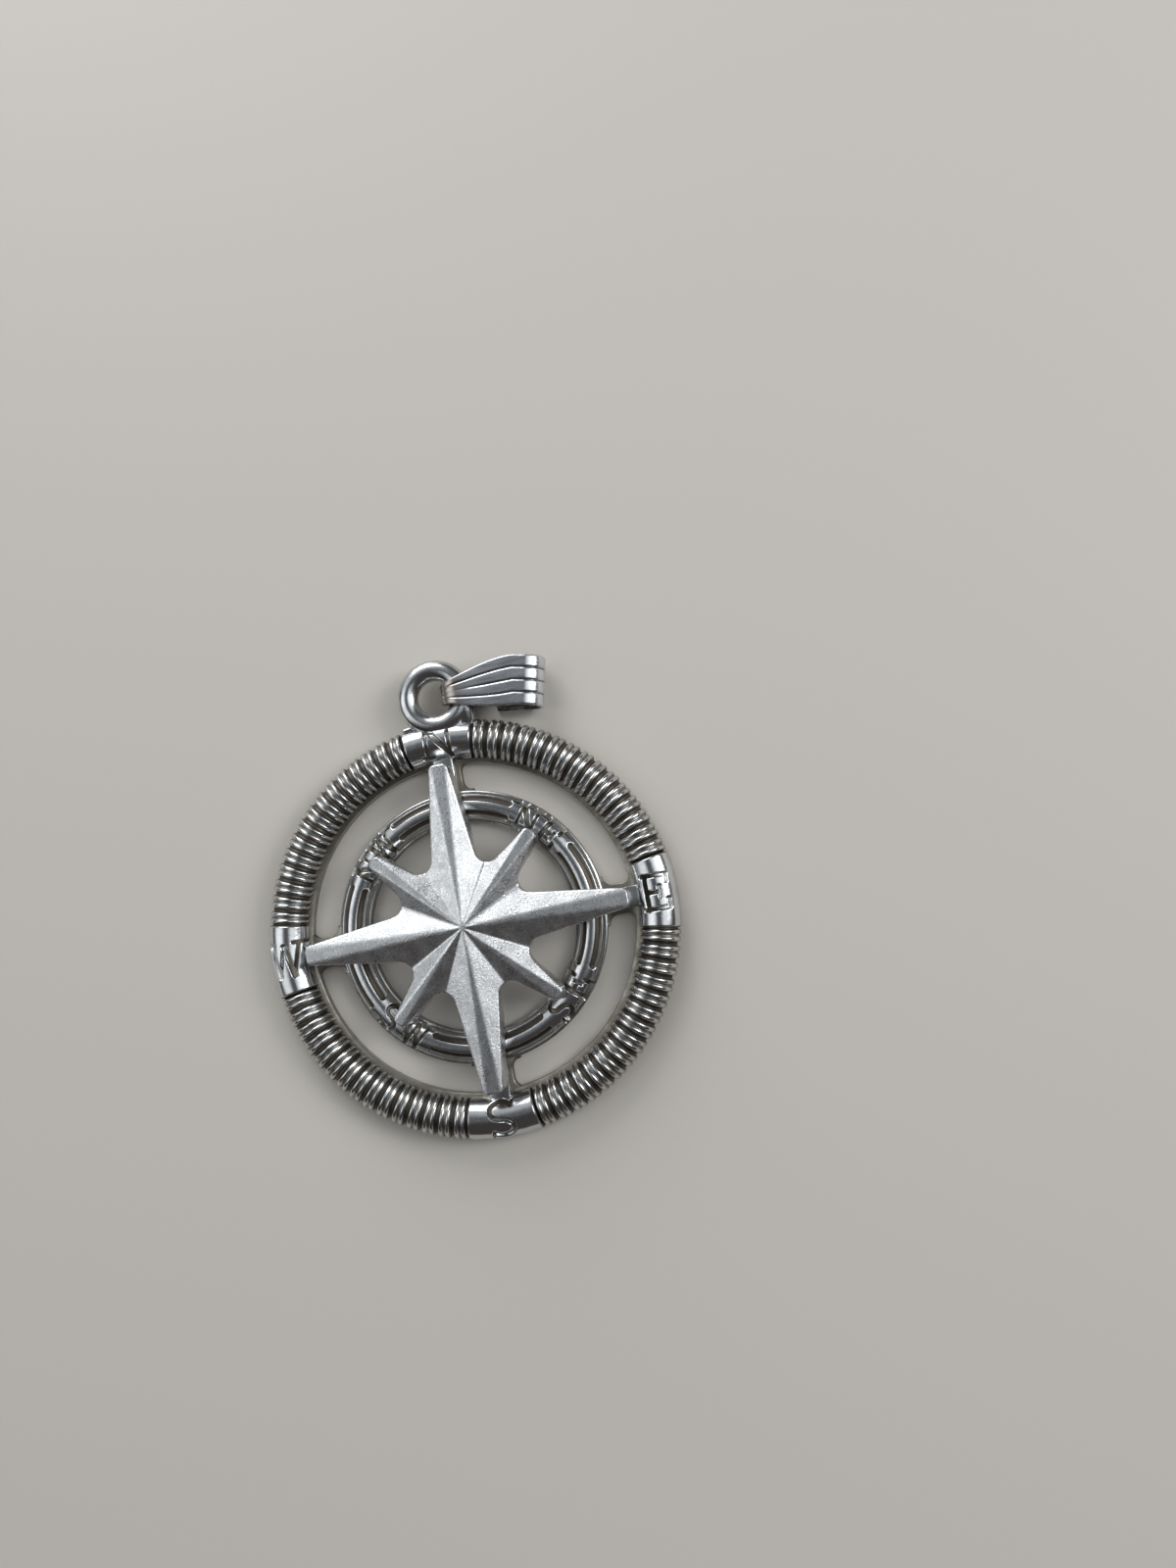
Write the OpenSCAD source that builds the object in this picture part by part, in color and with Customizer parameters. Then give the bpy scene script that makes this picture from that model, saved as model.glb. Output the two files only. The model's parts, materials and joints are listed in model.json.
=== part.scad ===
// Compass pendant: a ribbed ring with a smaller lettered ring inside it, a raised
// eight-point star across both, a loop at north and a grooved bail lying to the east.
// Millimetres. North is +Y, east is +X, the front faces +Z and the flat back lies on Z = 0.

/* [Outer rim] */
// Outer diameter of the ribbed rim
rim_d = 30.4; // [28:0.1:33]
// Radius of the half-round rim section, over the ribs
rim_section_r = 1.5; // [1.2:0.05:1.6]
// How deep the grooves between the ribs are
groove_depth = 0.26; // [0.15:0.01:0.4]
// Pairs of ribs in each quarter of the rim
rib_pairs = 15; // [9:1:18]
// Share of a pair's pitch that one rib takes
rib_share = 0.34; // [0.3:0.01:0.42]
// Gap between the two ribs of a pair, as a share of the pitch
pair_gap_share = 0.08; // [0.03:0.01:0.1]
// Length of each plain lettered cartouche, along the middle of the rim
cartouche_l = 5; // [4:0.1:6]

/* [Back plate] */
// Thickness of the flat back plate
plate_t = 0.7; // [0.5:0.05:1]
// Flat ledge that shows between the rim section and the open windows
ledge_w = 0.25; // [0.2:0.05:0.6]
// How far the plate reaches out under the rim, past the middle of the rim's section
plate_reach = 0.7; // [0.4:0.05:0.8]
// Step from the flat back up to the underside of the rim
back_step = 0.02; // [0.01:0.01:0.1]

/* [Inner ring] */
// Outer diameter of the inner ring
ring_out_d = 19.8; // [18:0.2:21]
// Inner diameter of the inner ring
ring_in_d = 15.2; // [14.4:0.2:15.8]
// Height of the inner ring's crown above the back
ring_top = 1.5; // [1.3:0.05:1.8]
// Flat lip on each side of the inner ring's rounded band
ring_lip = 0.12; // [0.05:0.01:0.2]
// Depth of the slots and letters in the inner ring
ring_cut = 0.24; // [0.15:0.01:0.35]
// Width of the slots
slot_w = 0.4; // [0.3:0.02:0.5]
// Distance between the middles of the outer and the inner slot
slot_pitch = 1.12; // [1:0.02:1.3]
// Angle that a slot spans on each side of its cardinal direction
slot_half_angle = 28; // [22:1:30]

/* [Bridges] */
// Width of the four bridges between the rings
bridge_w = 2.2; // [1.8:0.1:2.6]
// Radius of the fillets where a bridge meets the rings
bridge_fillet = 0.7; // [0.4:0.05:0.9]
// Width of the raised rib along each bridge
bridge_rib_w = 1.5; // [1.2:0.05:1.7]
// Height of that rib above the back
bridge_rib_top = 1.3; // [1.1:0.05:1.3]

/* [Letters] */
// Height of the cardinal letters on the rim
letter_h = 2.6; // [1.8:0.05:2.7]
// Width of an average cardinal letter
letter_w = 2.1; // [1.5:0.05:2.2]
// Stroke of the cardinal letters
letter_stroke = 0.34; // [0.25:0.01:0.45]
// Height of the letters on the inner ring
mark_h = 2; // [1.6:0.05:2]
// Width of an average letter on the inner ring
mark_w = 1.5; // [1.1:0.05:1.55]
// Stroke of the letters on the inner ring
mark_stroke = 0.26; // [0.2:0.01:0.32]
// Distance between the middles of the two letters of a mark
mark_pitch = 2.05; // [1.9:0.05:2.2]

/* [Star] */
// Gap between the long arms' tips and the edge of the rim's ledge
tip_gap = 0.2; // [0:0.05:0.6]
// How far the short arms' tips lie over the inner ring
short_overlap = 0.7; // [0.3:0.05:1.2]
// Width of a long arm at its blunt tip
long_tip_w = 1.46; // [1.1:0.02:1.7]
// Width of a short arm at its blunt tip
short_tip_w = 1.06; // [0.8:0.02:1.3]
// Radius of the rounded corners of every tip
tip_corner_r = 0.42; // [0.2:0.02:0.5]
// Distance from the middle to the sharp root between two arms
root_r = 3.95; // [3.5:0.05:4.5]
// Angle from a long arm to the root beside it
root_angle = 27.3; // [25:0.1:30]
// Radius that fills each root
root_fillet = 0.95; // [0.5:0.05:1.1]
// Gap between the inner ring's crown and the star's flat underside
star_gap = 0.05; // [0.03:0.01:0.15]
// Height of the star's side wall at the roots
root_wall = 1.85; // [1.4:0.05:2]
// Height of the hollow under the star's middle
hollow_h = 1.05; // [0.6:0.05:1.2]
// Distance from the inner ring's opening in to the edge of that hollow
hollow_inset = 0.8; // [0.5:0.05:1.5]
// Height of the long arms at their tips
long_tip_wall = 1.8; // [1.3:0.05:2.1]
// Height of the short arms at their tips
short_tip_wall = 1.95; // [1.4:0.05:2.2]
// Share of a blunt tip's width that the flat land along the ridge takes
land_share = 0.72; // [0.5:0.02:0.9]
// Height of the peak over the star's underside
peak_h = 2.75; // [2.3:0.05:3.2]

/* [Pegs] */
// Diameter of the hidden pegs under the long arms
peg_d = 0.8; // [0.6:0.05:1]
// How far a peg goes down into its bridge's rib
peg_depth = 0.55; // [0.4:0.05:0.55]
// Clearance round and under a peg
peg_clearance = 0.04; // [0.02:0.01:0.08]

/* [Loop] */
// Diameter of the loop's wire
loop_wire_d = 1.55; // [1.3:0.05:1.7]
// Diameter of the loop's hole
loop_hole_d = 2.54; // [2.4:0.02:3.2]
// How deep the loop's wire sinks into the rim
loop_sink = 1.15; // [0.9:0.05:1.3]
// How far below its middle the loop's east side runs straight down to the rim
web_drop = 0.65; // [0.55:0.05:0.9]
// How far east of north the loop was soldered on
loop_shift = 0.3; // [0:0.01:0.5]
// Angle that the shoulder under the loop spans on each side of north
shoulder_half_angle = 9; // [6:0.5:10]
// How far that shoulder stands out of the rim
shoulder_out = 0.05; // [0.02:0.01:0.3]
// Height of the shoulder's top above the back
shoulder_top = 1.7; // [1.2:0.05:1.9]

/* [Bail] */
// Thickness of the bail's strip
strip_t = 0.3; // [0.25:0.01:0.36]
// Gap between the loop's wire and the bail's foot, at the middle of the foot
foot_gap = 0.34; // [0.28:0.01:0.38]
// How far the middle of the foot hangs inwards from the middle of the wire
foot_inset = 0.2; // [0.1:0.01:0.22]
// Width of the foot inside the loop
foot_w = 1.3; // [1.2:0.05:1.45]
// Width of the strip at the wide end
wide_w = 3.64; // [3:0.02:4]
// Length of the bail from the middle of its foot to the wide end
bail_reach = 6.4; // [6:0.01:7.2]
// Length over which the strip widens from its foot
taper_l = 5.6; // [4.5:0.1:6]
// How late that widening comes: 1 follows a quarter of a wave, more is narrower at the foot
taper_power = 1.2; // [0.8:0.05:1.4]
// Turn of the wide end towards the south, where the strip was bent a little askew
end_turn = 12; // [5:0.5:15]
// Length of the short wide leaf at the back, from the wide end
back_leaf_l = 4; // [3.2:0.05:4.4]
// Width of the narrow tongue that joins the foot to the back leaf
tongue_w = 1.2; // [1:0.05:1.4]
// Width of the three grooves along the bail
bail_groove_w = 0.16; // [0.1:0.01:0.22]
// Depth of those grooves
bail_groove_depth = 0.1; // [0.06:0.01:0.14]
// Height of the loop's and foot's middle over the lowest point of the foot
foot_lift = 0.02; // [0:0.01:0.1]
// Turn of the lying bail round the loop, from east towards south
bail_turn = 0; // [-6:0.5:6]

/* [Hidden] */
$fn = 96;
NUDGE = 0.01;
HAIR = 0.002;
ARM_COUNT = 4;
FAR = 40;
TAPER_STEPS = 8;
CARDINALS = [0, 90, 180, 270];

rim_r = rim_d/2;
rim_mid_r = rim_r - rim_section_r;
core_section_r = rim_section_r - groove_depth;
plate_in_r = rim_mid_r - rim_section_r - ledge_w;
cartouche_angle = cartouche_l/rim_mid_r*180/PI;
rib_zone = 360/ARM_COUNT - cartouche_angle;
pair_pitch = rib_zone/rib_pairs;
rib_angle = pair_pitch*rib_share;
pair_gap_angle = pair_pitch*pair_gap_share;
rib_l = rim_mid_r*rib_angle*PI/180;

ring_out_r = ring_out_d/2;
ring_in_r = ring_in_d/2;
ring_mid_r = (ring_out_r + ring_in_r)/2;
ring_section_r = (ring_out_r - ring_in_r)/2 - ring_lip;
ring_section_z = ring_top - ring_section_r;

star_z = ring_top + star_gap;
long_reach = plate_in_r - tip_gap;
short_reach = ring_in_r + short_overlap;
hollow_r = ring_in_r - hollow_inset;
peg_r = (ring_out_r + long_reach)/2;
peg_foot = bridge_rib_top - peg_depth;
long_root = [root_r*sin(root_angle), root_r*cos(root_angle)];
short_root_angle = 360/ARM_COUNT/2 - root_angle;
short_root = [root_r*sin(short_root_angle), root_r*cos(short_root_angle)];

wire_r = loop_wire_d/2;
loop_mid_r = loop_hole_d/2 + wire_r;
loop_y = rim_r - loop_sink + loop_hole_d/2 + loop_wire_d;
foot_bore_r = wire_r + foot_gap;
foot_r = foot_bore_r + strip_t;
loop_z = foot_r + foot_lift;
foot_x = loop_mid_r - foot_inset;
turn_x = taper_l - foot_r;
curl_r = foot_r + foot_lift/2;
curl_x = bail_reach - curl_r;
curl_z = curl_r - loop_z;

whole_h = loop_y + loop_hole_d/2 + loop_wire_d;
centre_shift = -(whole_h - rim_r)/2;

// A straight stroke of a letter from p to q, with square ends
module stroke(p, q, w) {
    d = q - p;
    translate(p) rotate(atan2(d.y, d.x)) translate([-w/2, -w/2]) square([norm(d) + w, w]);
}

// A curved stroke: part of a ring of mean radius r, from angle a to angle a + span
module bend(c, r, w, a, span) {
    steps = 6;
    fan = [for (i = [0:steps]) 2*(r + w)*[cos(a + span*i/steps), sin(a + span*i/steps)]];
    translate(c) intersection() {
        difference() {
            circle(r + w/2);
            circle(r - w/2);
        }
        polygon(concat([[0, 0]], fan));
    }
}

// Width of each capital letter as a share of the average one
function width_share(name) = name == "W" ? 1.35 : name == "N" ? 1.06 : name == "E" ? 0.92 : 1;

// One capital letter of height h and average width w, centred
module letter(name, h, w, s) {
    x = (w*width_share(name) - s)/2;
    y = (h - s)/2;
    if (name == "N") {
        stroke([-x, -y], [-x, y], s);
        stroke([x, -y], [x, y], s);
        stroke([-x, y], [x, -y], s);
    }
    if (name == "E") {
        stroke([-x, -y], [-x, y], s);
        for (v = [-y, 0, y]) stroke([-x, v], [x, v], s);
    }
    if (name == "W") {
        stroke([-x, y], [-x/2, -y], s);
        stroke([-x/2, -y], [0, y/2], s);
        stroke([0, y/2], [x/2, -y], s);
        stroke([x/2, -y], [x, y], s);
    }
    if (name == "S") {
        r = y/2;
        flat = max(x - r, 0);
        bend([-flat, r], r, s, 90, 180);
        bend([flat, -r], r, s, -90, 180);
        stroke([-flat, y], [x, y], s);
        stroke([-flat, 0], [flat, 0], s);
        stroke([-x, -y], [flat, -y], s);
    }
}

// The rim's round section of radius r, flat underneath
module rim_section(r) {
    intersection() {
        circle(r);
        translate([-r, back_step - plate_t]) square([2*r, plate_t - back_step + r]);
    }
}

// One rib: a slice of the rim's section, as wide as rib_l, at angle a from east
module rib(a) {
    rotate(a) translate([rim_mid_r, rib_l/2, plate_t]) rotate([90, 0, 0])
        linear_extrude(rib_l) rim_section(rim_section_r);
}

// The pairs of ribs of one quarter, which starts beside the cartouche at angle a
module quarter_ribs(a) {
    start = a + cartouche_angle/2;
    for (i = [0:rib_pairs - 1], side = [-1, 1])
        rib(start + (i + 0.5)*pair_pitch + side*(rib_angle + pair_gap_angle)/2);
}

// A plain cartouche with its letter cut down to the core
module cartouche(a, name) {
    difference() {
        rotate(a - cartouche_angle/2) rotate_extrude(angle = cartouche_angle)
            translate([rim_mid_r, plate_t]) rim_section(rim_section_r);
        translate([rim_mid_r*cos(a), rim_mid_r*sin(a), plate_t])
            linear_extrude(FAR) letter(name, letter_h, letter_w, letter_stroke);
    }
}

module rim() {
    names = ["E", "N", "W", "S"];
    rotate_extrude() translate([rim_mid_r, plate_t]) rim_section(core_section_r);
    for (a = CARDINALS) quarter_ribs(a);
    for (i = [0:ARM_COUNT - 1]) cartouche(CARDINALS[i], names[i]);
}

// Outline of a bridge that runs east, with a fillet at each of its four corners
module bridge_outline() {
    f = bridge_fillet;
    x0 = ring_out_r + f;
    x1 = plate_in_r - f;
    difference() {
        translate([ring_mid_r, -bridge_w/2 - f]) square([rim_mid_r - ring_mid_r, bridge_w + 2*f]);
        for (side = [0, 1]) mirror([0, side]) translate([0, bridge_w/2 + f]) {
            translate([x0, 0]) circle(f);
            translate([x1, 0]) circle(f);
            translate([x0, -f]) square([max(x1 - x0, NUDGE), 2*f]);
        }
    }
}

// The flat back: two annuli and the bridges between them
module back_plate() {
    linear_extrude(plate_t) {
        difference() {
            circle(rim_mid_r + plate_reach);
            circle(plate_in_r);
        }
        difference() {
            circle(ring_out_r);
            circle(ring_in_r);
        }
        for (a = CARDINALS) rotate(a) bridge_outline();
    }
}

// Raised rib of a bridge that runs east, with the blind hole for one of the star's pegs
module bridge_rib() {
    difference() {
        translate([ring_mid_r, -bridge_rib_w/2, plate_t/2])
            cube([rim_mid_r - ring_mid_r, bridge_rib_w, bridge_rib_top - plate_t/2]);
        translate([peg_r, 0, peg_foot]) cylinder(h = FAR, d = peg_d + 2*peg_clearance, $fn = 32);
    }
}

// The inner ring's half-round band, with a section of radius r
module band(r) {
    rotate_extrude() translate([ring_mid_r, ring_section_z]) intersection() {
        circle(r);
        translate([-r, 0]) square([2*r, r]);
    }
}

// A slot with round ends, centred on the cardinal at angle a and distance r from the middle
module slot(a, r) {
    rotate(a - slot_half_angle) rotate_extrude(angle = 2*slot_half_angle)
        translate([r - slot_w/2, 0]) square([slot_w, FAR]);
    for (end = [-1, 1])
        rotate(a + end*slot_half_angle) translate([r, 0, 0]) cylinder(h = FAR, d = slot_w, $fn = 24);
}

// The two letters of a mark follow the ring at angle a, and their heads are turned by head
// from the direction outwards
module mark(a, names, head) {
    step = mark_pitch/ring_mid_r*90/PI;
    for (i = [0, 1]) rotate(a + (i == 0 ? step : -step))
        translate([ring_mid_r, 0]) rotate(head - 90)
            linear_extrude(FAR) letter(names[i], mark_h, mark_w, mark_stroke);
}

module inner_ring() {
    band(ring_section_r - ring_cut);
    difference() {
        band(ring_section_r);
        translate([0, 0, ring_section_z]) {
            for (a = CARDINALS, side = [-1, 1]) slot(a, ring_mid_r + side*slot_pitch/2);
            mark(45, ["N", "E"], 0);
            mark(135, ["N", "W"], 0);
            mark(225, ["W", "S"], 180);
            mark(315, ["E", "S"], 180);
        }
    }
}

// The loop, the web below its east side and the low shoulder that carries it on the rim
module loop() {
    translate([loop_shift, loop_y, loop_z]) {
        rotate_extrude() translate([loop_mid_r, 0]) circle(wire_r, $fn = 48);
        translate([loop_mid_r, -web_drop, 0]) rotate([90, 0, 0])
            cylinder(h = loop_y - web_drop - rim_mid_r, r = wire_r, $fn = 48);
    }
    rotate(90 - shoulder_half_angle) rotate_extrude(angle = 2*shoulder_half_angle)
        translate([rim_mid_r, plate_t/2]) square([rim_section_r + shoulder_out, shoulder_top - plate_t/2]);
}

module frame() {
    color("#8d8f93") translate([0, centre_shift, 0]) {
        back_plate();
        rim();
        inner_ring();
        for (a = CARDINALS) rotate(a) bridge_rib();
        loop();
    }
}

// Half-space under the plane through the peak whose normal leans by tilt towards angle a
module under_plane(a, tilt) {
    translate([0, 0, star_z + peak_h]) rotate([0, tilt, a]) translate([-FAR, -FAR, -2*FAR]) cube(2*FAR);
}

// Plane through the peak and two points, given as the angle and tilt of its normal
function plane_normal(p, q) = let (n = cross(p, q)) n.z < 0 ? -n : n;
function plane_angle(n) = atan2(n.y, n.x);
function plane_tilt(n) = acos(n.z/norm(n));

// An arm of the star points north: two side facets and the flat land along its ridge
module arm_roof(reach, tip_w, tip_wall, root) {
    tip = [land_share*tip_w/2, reach, tip_wall - peak_h];
    foot = [root.x, root.y, root_wall - peak_h];
    facet = plane_normal(tip, foot);
    spread = root.x + root_fillet/2;
    intersection() {
        under_plane(90, atan2(peak_h - tip_wall, reach));
        under_plane(plane_angle(facet), plane_tilt(facet));
        under_plane(180 - plane_angle(facet), plane_tilt(facet));
        linear_extrude(FAR) polygon([[0, 0], 2*[spread, root.y], [0, FAR], 2*[-spread, root.y]]);
    }
}

// Outline of one arm with its blunt tip
module arm_outline(reach, tip_w, root) {
    r = tip_corner_r;
    straight = reach - r;
    polygon([[0, 0], root, [tip_w/2, straight], [-tip_w/2, straight], [-root.x, root.y]]);
    for (side = [-1, 1]) translate([side*(tip_w/2 - r), straight]) circle(r);
    translate([-tip_w/2 + r, straight - r]) square([tip_w - 2*r, 2*r]);
}

// Fills the corner at the root with a round of radius root_fillet
module root_round(p, q, root) {
    u = (p - root)/norm(p - root);
    v = (q - root)/norm(q - root);
    half = acos(u*v)/2;
    mid = (u + v)/norm(u + v);
    reach = root_fillet/tan(half);
    difference() {
        polygon([root - NUDGE*mid, root + reach*u, root + reach*v]);
        translate(root + root_fillet/sin(half)*mid) circle(root_fillet);
    }
}

module star_outline() {
    long_tip = [long_tip_w/2, long_reach - tip_corner_r];
    short_side = [-short_tip_w/2, short_reach - tip_corner_r];
    short_tip = [short_side.x*cos(45) + short_side.y*sin(45), short_side.y*cos(45) - short_side.x*sin(45)];
    circle(root_r);
    for (a = CARDINALS) {
        rotate(a) arm_outline(long_reach, long_tip_w, long_root);
        rotate(a + 45) arm_outline(short_reach, short_tip_w, short_root);
        rotate(a) for (side = [0, 1]) mirror([side, 0, 0]) root_round(long_tip, short_tip, long_root);
    }
}

module star() {
    color("#c9cbce") translate([0, centre_shift, 0]) {
        difference() {
            intersection() {
                translate([0, 0, star_z]) linear_extrude(FAR) star_outline();
                union() for (a = CARDINALS) {
                    rotate(a) arm_roof(long_reach, long_tip_w, long_tip_wall, long_root);
                    rotate(a + 45) arm_roof(short_reach, short_tip_w, short_tip_wall, short_root);
                }
            }
            translate([0, 0, star_z - hollow_h])
                cylinder(h = 2*hollow_h, r1 = hollow_r + hollow_h, r2 = hollow_r - hollow_h);
        }
        for (a = CARDINALS)
            rotate(a) translate([peg_r, 0, peg_foot + peg_clearance])
                cylinder(h = star_z + root_wall/2 - peg_foot - peg_clearance, d = peg_d, $fn = 32);
    }
}

// Outline that wraps two circles: radius r0 at the origin and r1 at c. Its straight sides lie
// a hair inside the tangents, so that they cross both circles cleanly
module wrap(r0, c, r1) {
    a = atan2(c.y, c.x);
    lean = acos((r0 - r1)/norm(c));
    sides = [for (l = [lean, -lean]) [cos(a + l), sin(a + l)]];
    circle(r0);
    translate(c) circle(r1);
    polygon([
        (r0 - HAIR)*sides[0], c + (r1 - HAIR)*sides[0],
        c + (r1 - HAIR)*sides[1], (r0 - HAIR)*sides[1]
    ]);
}

// Outline that wraps the foot and the curl, from in under the strip's outer face
module around(in) {
    wrap(foot_r - in, [curl_x, curl_z], curl_r - in);
}

// A side view that is drawn with z upwards and stretched across the whole strip
module across() {
    rotate([90, 0, 0]) translate([0, 0, -FAR/2]) linear_extrude(FAR) children();
}

// Half of the strip's width at distance x from the foot
function widening(x) = pow(max(0, min(1, (x + foot_r)/taper_l)), taper_power);
function strip_half(x) = foot_w/2 + (wide_w - foot_w)/2*sin(90*widening(x));

// Front outline of the strip, from the foot to the wide end
module strip_plan() {
    xs = [for (i = [0:TAPER_STEPS]) -foot_r + taper_l*i/TAPER_STEPS];
    polygon(concat(
        [for (x = xs) [x, strip_half(x)]], [[bail_reach, wide_w/2], [bail_reach, -wide_w/2]],
        [for (i = [TAPER_STEPS:-1:0]) [xs[i], -strip_half(xs[i])]]
    ));
}

// The bent strip: full width in front, a tongue and a short leaf behind
module bent_strip() {
    intersection() {
        across() difference() {
            around(0);
            around(strip_t);
        }
        union() {
            linear_extrude(FAR) strip_plan();
            translate([0, 0, -FAR]) linear_extrude(FAR + NUDGE) {
                translate([-foot_r, -tongue_w/2]) square([bail_reach, tongue_w]);
                translate([bail_reach - back_leaf_l, -wide_w/2]) square([back_leaf_l, wide_w]);
            }
        }
    }
}

// Half of a groove's width at distance x from the foot
function groove_half(x) = max(NUDGE, bail_groove_w/2*min(1, x/turn_x));

// The three grooves part the strip into four bands that narrow towards the foot
module grooves() {
    xs = concat([for (i = [0:TAPER_STEPS]) turn_x*i/TAPER_STEPS], [bail_reach + NUDGE]);
    for (side = [-1, 0, 1]) translate([0, 0, -FAR/2]) linear_extrude(FAR) polygon(concat(
        [for (x = xs) [x, side*strip_half(x)/2 + groove_half(x)]],
        [for (i = [TAPER_STEPS + 1:-1:0]) [xs[i], side*strip_half(xs[i])/2 - groove_half(xs[i])]]
    ));
}

// The grooves run as deep as bail_groove_depth, and the tongue stays plain
module groove_cuts() {
    difference() {
        grooves();
        across() around(bail_groove_depth);
        translate([-FAR, -FAR/2, -FAR]) cube([FAR + bail_reach - back_leaf_l, FAR, FAR]);
    }
}

// Everything past the upright plane that meets the strip's middle line at turn_x + x and leans by a
module past(x, a) {
    translate([turn_x, 0, 0]) rotate(a) translate([x, -FAR/2, -FAR/2]) cube(FAR);
}

// A straight shape with everything past the full width turned by end_turn, as a mitre
module turned_end() {
    difference() {
        children();
        past(NUDGE, -end_turn/2);
    }
    translate([turn_x, 0, 0]) rotate(-end_turn) translate([-turn_x, 0, 0]) intersection() {
        children();
        past(0, end_turn/2);
    }
}

module bail() {
    color("#b9bbbf") translate([loop_shift, centre_shift + loop_y, loop_z])
        rotate(-bail_turn) translate([foot_x, 0, 0]) difference() {
            turned_end() bent_strip();
            turned_end() groove_cuts();
        }
}

frame();
star();
bail();
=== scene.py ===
# %% [markdown]
# # A compass pendant of cast and plated metal
#
# This lesson dresses a small compass pendant. The real one is a ribbed ring with a
# smaller lettered ring inside it, a raised eight-point star across both, a loop at
# north, and a grooved bail that lies to the east.
#
# The sizes come from the fixed frame that is loaded first: three plain solids named
# `frame`, `star` and `bail`. Each is replaced here by finer pieces in the same place,
# because soft edges, round ribs and crowned strips are what make metal look like metal.

# %% Load the frame
import json
import math

import bmesh
import bpy
import numpy as np
from mathutils import Matrix, Vector

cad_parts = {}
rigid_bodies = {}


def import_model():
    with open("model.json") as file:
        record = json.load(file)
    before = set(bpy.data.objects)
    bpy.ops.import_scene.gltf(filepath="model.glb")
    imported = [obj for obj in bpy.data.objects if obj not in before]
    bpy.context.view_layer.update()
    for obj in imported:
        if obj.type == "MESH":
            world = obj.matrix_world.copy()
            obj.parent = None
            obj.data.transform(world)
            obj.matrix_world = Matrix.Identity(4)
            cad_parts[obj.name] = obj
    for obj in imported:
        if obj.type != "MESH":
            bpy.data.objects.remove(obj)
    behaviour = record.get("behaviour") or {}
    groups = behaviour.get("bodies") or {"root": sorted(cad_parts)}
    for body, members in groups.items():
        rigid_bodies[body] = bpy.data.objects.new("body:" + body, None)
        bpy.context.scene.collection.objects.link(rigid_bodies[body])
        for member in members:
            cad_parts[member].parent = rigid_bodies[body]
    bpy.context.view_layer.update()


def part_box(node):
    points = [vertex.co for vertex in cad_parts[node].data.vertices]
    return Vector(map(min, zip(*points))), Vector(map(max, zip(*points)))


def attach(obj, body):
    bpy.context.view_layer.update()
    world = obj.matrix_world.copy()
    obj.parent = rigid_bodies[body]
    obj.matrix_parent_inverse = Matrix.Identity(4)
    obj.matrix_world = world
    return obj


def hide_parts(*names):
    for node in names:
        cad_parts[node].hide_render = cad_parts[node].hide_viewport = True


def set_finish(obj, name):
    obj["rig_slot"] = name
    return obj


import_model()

# %% [markdown]
# ## Driving sizes
#
# A jeweller measures everything from the middle of the rings. The frame's box gives the
# rim's radius and that middle, so every later size is written in millimetres from there.
# Blender works in metres, so a helper turns a finished grid of points into metres last.

# %% Sizes in millimetres, and the middle of the rings
MM = 0.001
frame_low, frame_high = (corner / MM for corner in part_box("frame"))
star_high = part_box("star")[1] / MM
RIM_R = (frame_high.x - frame_low.x) / 2
MIDDLE = np.array([(frame_low.x + frame_high.x) / 2, frame_low.y + RIM_R, 0.0])
CARDINALS = {"E": 0, "N": 90, "W": 180, "S": 270}
print("rim radius", round(RIM_R, 3), "mm, middle", MIDDLE.round(3))

# %% [markdown]
# ## Skins
#
# Nearly every piece here is a skin: rows of points that follow a path, with each row
# going round a section. One helper joins such a grid into a closed mesh and keeps one
# number for each point, `hollow`, that says how deep in a groove the point lies. The
# finish reads it later, because grime settles in hollows and hands polish the crowns.
# On the inner face of the bail's strip, the same number is painted shade instead.
# Everything is shaded smooth, except where the flat back turns up into a side. Those
# corners are marked as sharp, or the flat back would be shaded as if it bulged.

# %% A helper that turns points and faces into a piece
SAME_POINT = 1e-8
FACING_DOWN = -0.99
BACK_CORNER = math.radians(40)


def as_piece(name, points, faces, marks, body, slot):
    """Makes a piece from points in millimetres about the middle of the rings."""
    mesh = bpy.data.meshes.new(name)
    mesh.from_pydata(((points + MIDDLE) * MM).tolist(), [], faces)
    for mark, values in marks.items():
        mesh.attributes.new(mark, "FLOAT", "POINT").data.foreach_set("value", values.ravel())
    shape = bmesh.new()
    shape.from_mesh(mesh)
    bmesh.ops.remove_doubles(shape, verts=shape.verts, dist=SAME_POINT)
    bmesh.ops.recalc_face_normals(shape, faces=shape.faces)
    for face in shape.faces:
        face.smooth = True
    for edge in shape.edges:
        at_back = min(face.normal.z for face in edge.link_faces) < FACING_DOWN
        edge.smooth = not (at_back and edge.calc_face_angle(0) > BACK_CORNER)
    shape.to_mesh(mesh)
    shape.free()
    piece = bpy.data.objects.new(name, mesh)
    bpy.context.scene.collection.objects.link(piece)
    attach(piece, body)
    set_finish(piece, slot)
    print(name, len(mesh.vertices), "points")
    return piece

# %% A helper that joins a grid of points into a skin
def skin(name, grid, marks, body, slot, closed_path=False, closed_section=True):
    """Joins grid[path][section] into one mesh, and caps both ends of an open path."""
    rows, cols = grid.shape[:2]
    row = np.arange(rows if closed_path else rows - 1)[:, None]
    col = np.arange(cols if closed_section else cols - 1)[None, :]
    after_row, after_col = (row + 1) % rows, (col + 1) % cols
    corners = [row * cols + col, after_row * cols + col,
               after_row * cols + after_col, row * cols + after_col]
    faces = np.stack(corners, axis=-1).reshape(-1, 4).tolist()
    if not closed_path:
        faces.append(list(range(cols)))
        faces.append(list(range((rows - 1) * cols, rows * cols)))
    return as_piece(name, grid.reshape(-1, 3), faces, marks, body, slot)

# %% Helpers for soft steps and for places round the middle
def smooth_step(value, low, high):
    """0 below low, 1 above high, and a soft ramp between them."""
    share = np.clip((value - low) / (high - low), 0, 1)
    return share * share * (3 - 2 * share)


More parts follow.
